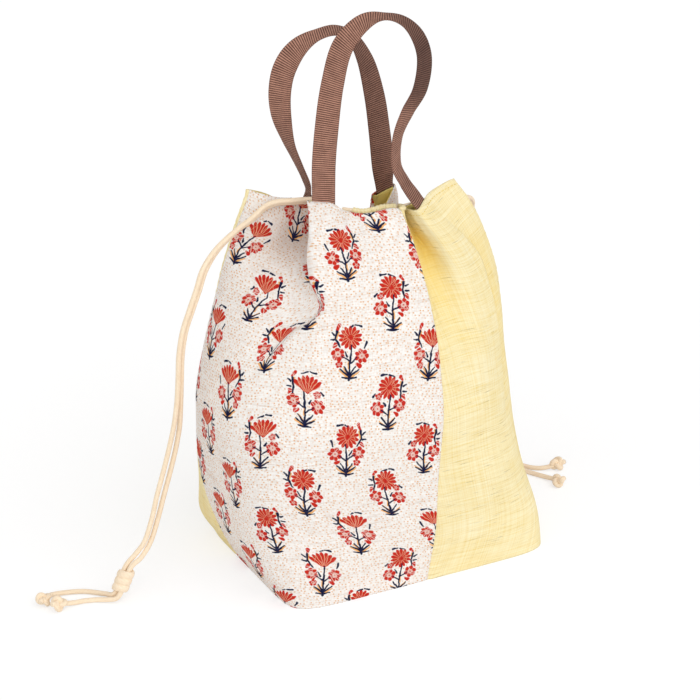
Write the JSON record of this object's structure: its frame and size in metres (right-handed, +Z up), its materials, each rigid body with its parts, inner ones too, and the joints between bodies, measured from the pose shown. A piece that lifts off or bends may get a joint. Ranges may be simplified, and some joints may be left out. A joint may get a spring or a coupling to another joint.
{
  "type": "drawstring bag",
  "caption": "Lined boxed-bottom drawstring bag of print and plain cotton panels, gathered at the mouth, with webbing handles and knotted cord ends.",
  "frame": {"origin": "middle of the flat base, on the floor", "axes": "+X along the base front edge to the right, -Y to the front, +Z up"},
  "size_m": [0.5284, 0.1906, 0.4964],
  "materials": {
    "print_cotton": "matte woven cotton with a small sprig print",
    "yellow_cotton": "matte slub cotton, pale yellow",
    "lining_cotton": "matte plain cotton, olive gold",
    "webbing": "ribbed brown webbing",
    "cord": "twisted beige cord, slight sheen"
  },
  "bodies": {
    "bag": {"print_panel_front": "print_cotton", "print_panel_back": "print_cotton", "yellow_panel_front": "yellow_cotton", "yellow_panel_back": "yellow_cotton", "base_panel": "yellow_cotton", "casing_front": "yellow_cotton", "casing_back": "yellow_cotton", "lining_wall": "lining_cotton", "lining_base": "lining_cotton", "front_handle_tail_left": "webbing", "front_handle_tail_right": "webbing", "back_handle_tail_left": "webbing", "back_handle_tail_right": "webbing", "left_cord_run_front": "cord", "right_cord_run_front": "cord", "left_cord_run_back": "cord", "right_cord_run_back": "cord"},
    "front_handle": {"front_handle_loop": "webbing"},
    "back_handle": {"back_handle_loop": "webbing"},
    "left_cord": {"left_strand_a": "cord", "left_strand_b": "cord", "left_wrap_knot": "cord", "left_tail_a": "cord", "left_tail_b": "cord", "left_end_knot_a": "cord", "left_end_knot_b": "cord"},
    "right_cord": {"right_strand_a": "cord", "right_strand_b": "cord", "right_wrap_knot": "cord", "right_tail_a": "cord", "right_tail_b": "cord", "right_end_knot_a": "cord", "right_end_knot_b": "cord"}
  },
  "joints": [
    {"name": "front_handle_fold", "type": "hinge", "parent": "bag", "child": "front_handle", "pos_m": [-0.04151, 0.01879, 0.33463], "axis": [0.8896, -0.4564, 0.0171], "range_deg": [-5, 100]},
    {"name": "back_handle_fold", "type": "hinge", "parent": "bag", "child": "back_handle", "pos_m": [0.03143, 0.04696, 0.32431], "axis": [-0.9352, 0.2355, -0.2645], "range_deg": [-5, 85]},
    {"name": "left_cord_pull", "type": "slide", "parent": "bag", "child": "left_cord", "axis": [-0.993, 0.1182, 0], "range_m": [0, 0.02]},
    {"name": "right_cord_pull", "type": "slide", "parent": "bag", "child": "right_cord", "axis": [0.993, 0.1182, 0], "range_m": [0, 0.015]}
  ]
}
